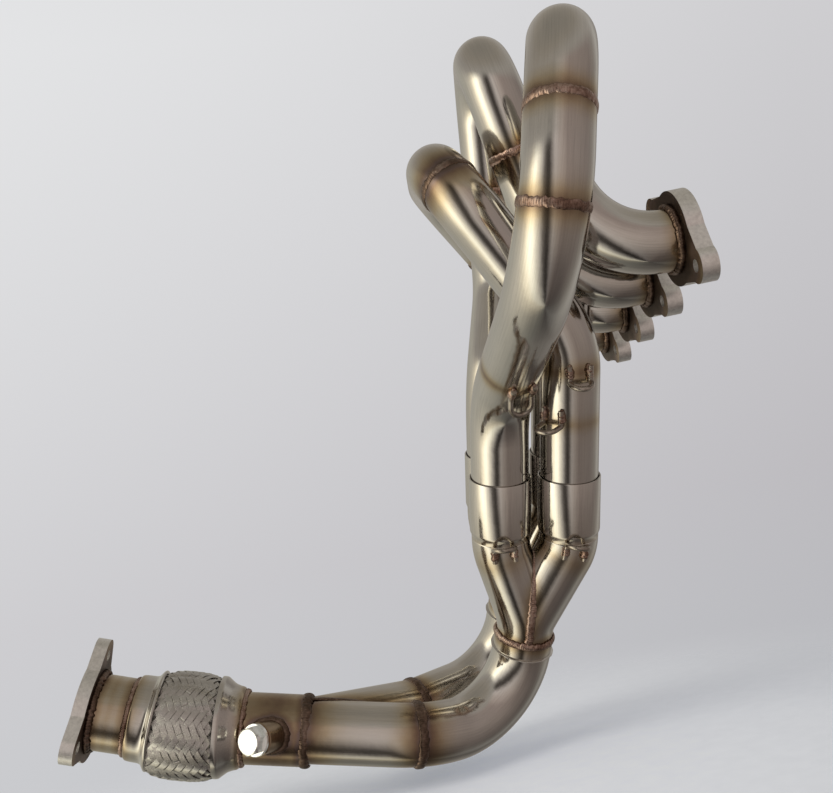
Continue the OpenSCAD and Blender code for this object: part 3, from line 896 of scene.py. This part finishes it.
# ---------------------------------------------------------------- weld tacks of the spring hooks
def tacks(name, body, frames):
    """Two rippled tacks per hook, over its welded legs; frames are (x, y, z, origin, tube radius)."""
    verts, faces = [], []
    for j, (hx, hy, hz, at, r) in enumerate(frames):
        y = math.sqrt((r + 2.15) ** 2 - 64)
        for k, sx in enumerate((-8, 8)):
            out = (hx * sx + hy * y).normalized()
            path = [(at + hx * sx + hy * y - out * 1.5 + hz * (-13.2 + q * 1.3), out) for q in range(11)]
            v, f = bead_data(path, 6.6, 3.9, closed=False, pitch=2.1, seed=61 + j * 3 + k)
            f = [tuple(q + len(verts) for q in face) for face in f]
            verts += v
            faces += f
    build(name, verts, faces, M_WELD, body)


upper = []
for n, i, s, way in ((1, 4, 135, (0.09, -0.28, -0.95)), (4, 4, 28, (0.08, -0.91, -0.41)),
                     (4, 4, 62, (-0.73, -0.66, -0.18)), (2, 5, 43, UY), (3, 5, 43, UY)):
    pts = LINES[n][0]
    d = (pts[i + 1] - pts[i]).normalized()
    way = Vector(way)
    hy = (way - d * way.dot(d)).normalized()
    upper.append((hy.cross(d), hy, d, pts[i] + d * s, 22.5))
tacks("upper_hook_tacks", ROOT, upper)
lower = []
for sx, sy, a in ((-1, -1, 181), (1, -1, 186), (-1, 1, 0), (1, 1, 0)):
    m = SLIP_ROT @ rot("Y", 10 if sx > 0 else -5) @ rot("Z", a)
    lower.append((m.col[0], m.col[1], m.col[2], slip(sx * DX, sy * DY, -49.5), 23.4))
tacks("lower_hook_tacks", COL, lower)

# ---------------------------------------------------------------- nodes kept from the CAD
for name, mat, width in (("port_flange_1", M_PLATE, 0.6), ("port_flange_2", M_PLATE, 0.6),
                         ("port_flange_3", M_PLATE, 0.6), ("port_flange_4", M_PLATE, 0.6),
                         ("outlet_flange", M_PLATE_OUT, 0.6), ("upper_spring_hooks", M_WIRE, 0),
                         ("lower_spring_hooks", M_WIRE, 0), ("flex_bellows", M_INNER_PAINTED_SHADE, 0),
                         ("flex_liner", M_INNER_PAINTED_SHADE, 0)):
    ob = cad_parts[name]
    ob.data.materials.clear()
    ob.data.materials.append(mat)
    if width:
        b = ob.modifiers.new("edge", "BEVEL")
        b.width, b.segments, b.limit_method, b.angle_limit = width * MM, 2, "ANGLE", math.radians(40)
        b.harden_normals = True

# ---------------------------------------------------------------- camera, floor and light
cam = bpy.data.objects.new("camera", bpy.data.cameras.new("camera"))
bpy.context.scene.collection.objects.link(cam)
right, up = Vector((0.978, 0.013, -0.2088)), Vector((0.208, -0.163, 0.965))
back = Vector((-0.0215, -0.987, -0.1621))
basis = Matrix((right, up, back)).transposed()
cam.matrix_world = Matrix.Translation(Vector((-226.3, -613.4, -172.9)) * MM) @ basis.to_4x4()
cam.data.lens, cam.data.sensor_width = 38.9, 36
cam.data.clip_start, cam.data.clip_end = 0.01, 50
bpy.context.scene.camera = cam
bpy.context.scene.view_settings.view_transform = "Standard"


def world_light():
    """Studio surroundings for the reflections, by direction, and a pale backdrop for the camera with
    painted shade, darker low and right.
    """
    w = bpy.data.worlds.new("studio")
    bpy.context.scene.world = w
    w.use_nodes = True
    nt = w.node_tree
    nt.nodes.clear()
    out = nt.nodes.new("ShaderNodeOutputWorld")
    bg = nt.nodes.new("ShaderNodeBackground")
    nt.links.new(bg.outputs[0], out.inputs[0])
    co = node(nt, "ShaderNodeTexCoord").outputs["Generated"]
    xyz = node(nt, "ShaderNodeSeparateXYZ", {0: co})
    az = maths(nt, "ARCTAN2", xyz.outputs[0], maths(nt, "MULTIPLY", xyz.outputs[1], -1.0))
    f = maths(nt, "MULTIPLY_ADD", az, 1 / TAU, 0.5)

    def lin(rgb):
        """Linear colour from 8 bit display values."""
        return tuple(((c / 255 + 0.055) / 1.055) ** 2.4 for c in rgb)

    sky = ramp(nt, f, [((deg + 180) / 360, lin(rgb)) for deg, rgb in (
        (-180, (114, 110, 104)), (-150, (127, 125, 117)), (-125, (139, 136, 126)),
        (-104, (158, 153, 140)), (-92, (192, 184, 164)), (-83, (236, 226, 200)),
        (-74, (255, 250, 228)), (-66, (244, 238, 218)), (-56, (196, 190, 176)),
        (-47, (150, 145, 138)), (-39, (88, 83, 79)), (-31, (52, 48, 45)), (-24, (54, 50, 47)),
        (-17, (112, 106, 102)), (-9, (148, 141, 136)), (3, (136, 127, 121)), (14, (128, 118, 112)),
        (26, (112, 102, 97)), (55, (110, 101, 96)), (90, (100, 92, 88)), (112, (106, 101, 96)),
        (132, (130, 127, 122)), (150, (96, 92, 88)), (180, (114, 110, 104)))])
    z = xyz.outputs[2]
    zf = maths(nt, "MULTIPLY_ADD", z, 0.5, 0.5)
    above = ramp(nt, zf, [((k + 1) / 2, lin(rgb)) for k, rgb in (
        (0.40, (122, 119, 114)), (0.70, (116, 112, 106)), (0.85, (108, 103, 95)),
        (1.0, (100, 96, 89)))])
    below = ramp(nt, zf, [(0.0, (0.30, 0.30, 0.30)), (0.065, (0.42, 0.42, 0.42)),
                          (0.15, (0.64, 0.64, 0.63)), (0.25, (0.80, 0.80, 0.79)),
                          (0.37, (0.93, 0.93, 0.92)), (0.5, (1.0, 1.0, 1.0))])
    low = node(nt, "ShaderNodeMix", {"Factor": 1.0, 6: sky, 7: below}, data_type="RGBA",
               blend_type="MULTIPLY")
    rise = node(nt, "ShaderNodeMapRange", {0: z, 1: 0.46, 2: 0.68, 3: 0.0, 4: 1.0},
                interpolation_type="SMOOTHSTEP").outputs[0]
    mix = node(nt, "ShaderNodeMix", {"Factor": rise, 6: low.outputs[2], 7: above}, data_type="RGBA")
    lit = node(nt, "ShaderNodeMix", {"Factor": 1.0, 6: mix.outputs[2], 7: (2.3, 2.3, 2.3, 1)},
               data_type="RGBA", blend_type="MULTIPLY")
    path = node(nt, "ShaderNodeLightPath").outputs["Is Camera Ray"]
    # painted shade and light on the backdrop: darker towards the bottom, lighter to the left and darker to
    # the right
    backdrop_shade_by_height = ramp(nt, zf, [(0.34, (0.52, 0.54, 0.56)), (0.5, (0.58, 0.575, 0.595)),
                         (0.77, (0.74, 0.745, 0.755))])
    wide = ramp(nt, maths(nt, "MULTIPLY_ADD", xyz.outputs[0], 0.5, 0.5),
                [(0.29, (1.06, 1.06, 1.06)), (0.5, (0.98, 0.975, 0.98)), (0.72, (0.88, 0.87, 0.88))])
    backdrop_painted_shade = node(nt, "ShaderNodeMix", {"Factor": 1.0, 6: backdrop_shade_by_height, 7: wide}, data_type="RGBA",
                    blend_type="MULTIPLY").outputs[2]
    pick = node(nt, "ShaderNodeMix", {"Factor": path, 6: lit.outputs[2], 7: backdrop_painted_shade}, data_type="RGBA")
    nt.links.new(pick.outputs[2], bg.inputs[0])
    bg.inputs[1].default_value = 1.0


world_light()


def area(name, at, look, size, power, colour):
    """Soft lamp that lights but does not show in the steel."""
    d = bpy.data.lights.new(name, "AREA")
    d.size, d.energy, d.color = size, power, colour
    o = bpy.data.objects.new(name, d)
    bpy.context.scene.collection.objects.link(o)
    o.location = at
    o.visible_glossy = False
    o.rotation_euler = (Vector(look) - Vector(at)).to_track_quat("-Z", "Y").to_euler()
    return o


area("key_light", (-1.6, -1.0, 1.2), (-0.2, 0.1, -0.1), 1.2, 18, (1, 0.96, 0.88))
area("fill_light", (1.6, -1.4, 0.6), (-0.2, 0.1, -0.1), 1.4, 8, (0.95, 0.96, 1.0))

# floor, a pale disc that fades out into the backdrop colour
low = cad_box[0][2] - 0.012
me = bpy.data.meshes.new("floor")
floor_sides, floor_r = 96, 1.6
verts = [(-0.22, 0.1, low)]
for k in range(floor_sides):
    a = TAU * k / floor_sides
    verts.append((-0.22 + floor_r * math.cos(a), 0.1 + floor_r * math.sin(a), low))
me.from_pydata(verts, [], [(0, 1 + k, 1 + (k + 1) % floor_sides) for k in range(floor_sides)])
floor = bpy.data.objects.new("floor", me)
bpy.context.scene.collection.objects.link(floor)
floor.visible_glossy = False
m, nt, bsdf = new_material("floor_paper")
co = node(nt, "ShaderNodeTexCoord").outputs["Object"]
grain = noise_at(nt, co, 60, 4, 0.6)
nt.links.new(ramp(nt, grain, [(0.3, (0.70, 0.72, 0.76)), (0.7, (0.74, 0.76, 0.80))]),
             bsdf.inputs["Base Color"])
bsdf.inputs["Roughness"].default_value = 0.85
bsdf.inputs["Emission Color"].default_value = (0.72, 0.82, 1.0, 1)
bsdf.inputs["Emission Strength"].default_value = 0.25
centre = node(nt, "ShaderNodeMapping", {"Vector": co, "Location": (0.22, -0.1, 0), "Scale": (1, 1, 0)})
far = node(nt, "ShaderNodeVectorMath", {0: centre.outputs[0]}, operation="LENGTH").outputs["Value"]
clear = node(nt, "ShaderNodeBsdfTransparent")
fade = node(nt, "ShaderNodeMapRange", {0: far, 1: 0.10, 2: 0.62, 3: 0.0, 4: 1.0},
            interpolation_type="SMOOTHSTEP")
mixs = nt.nodes.new("ShaderNodeMixShader")
nt.links.new(fade.outputs[0], mixs.inputs[0])
nt.links.new(bsdf.outputs[0], mixs.inputs[1])
nt.links.new(clear.outputs[0], mixs.inputs[2])
out = next(q for q in nt.nodes if q.type == "OUTPUT_MATERIAL")
nt.links.new(mixs.outputs[0], out.inputs[0])
me.materials.append(m)
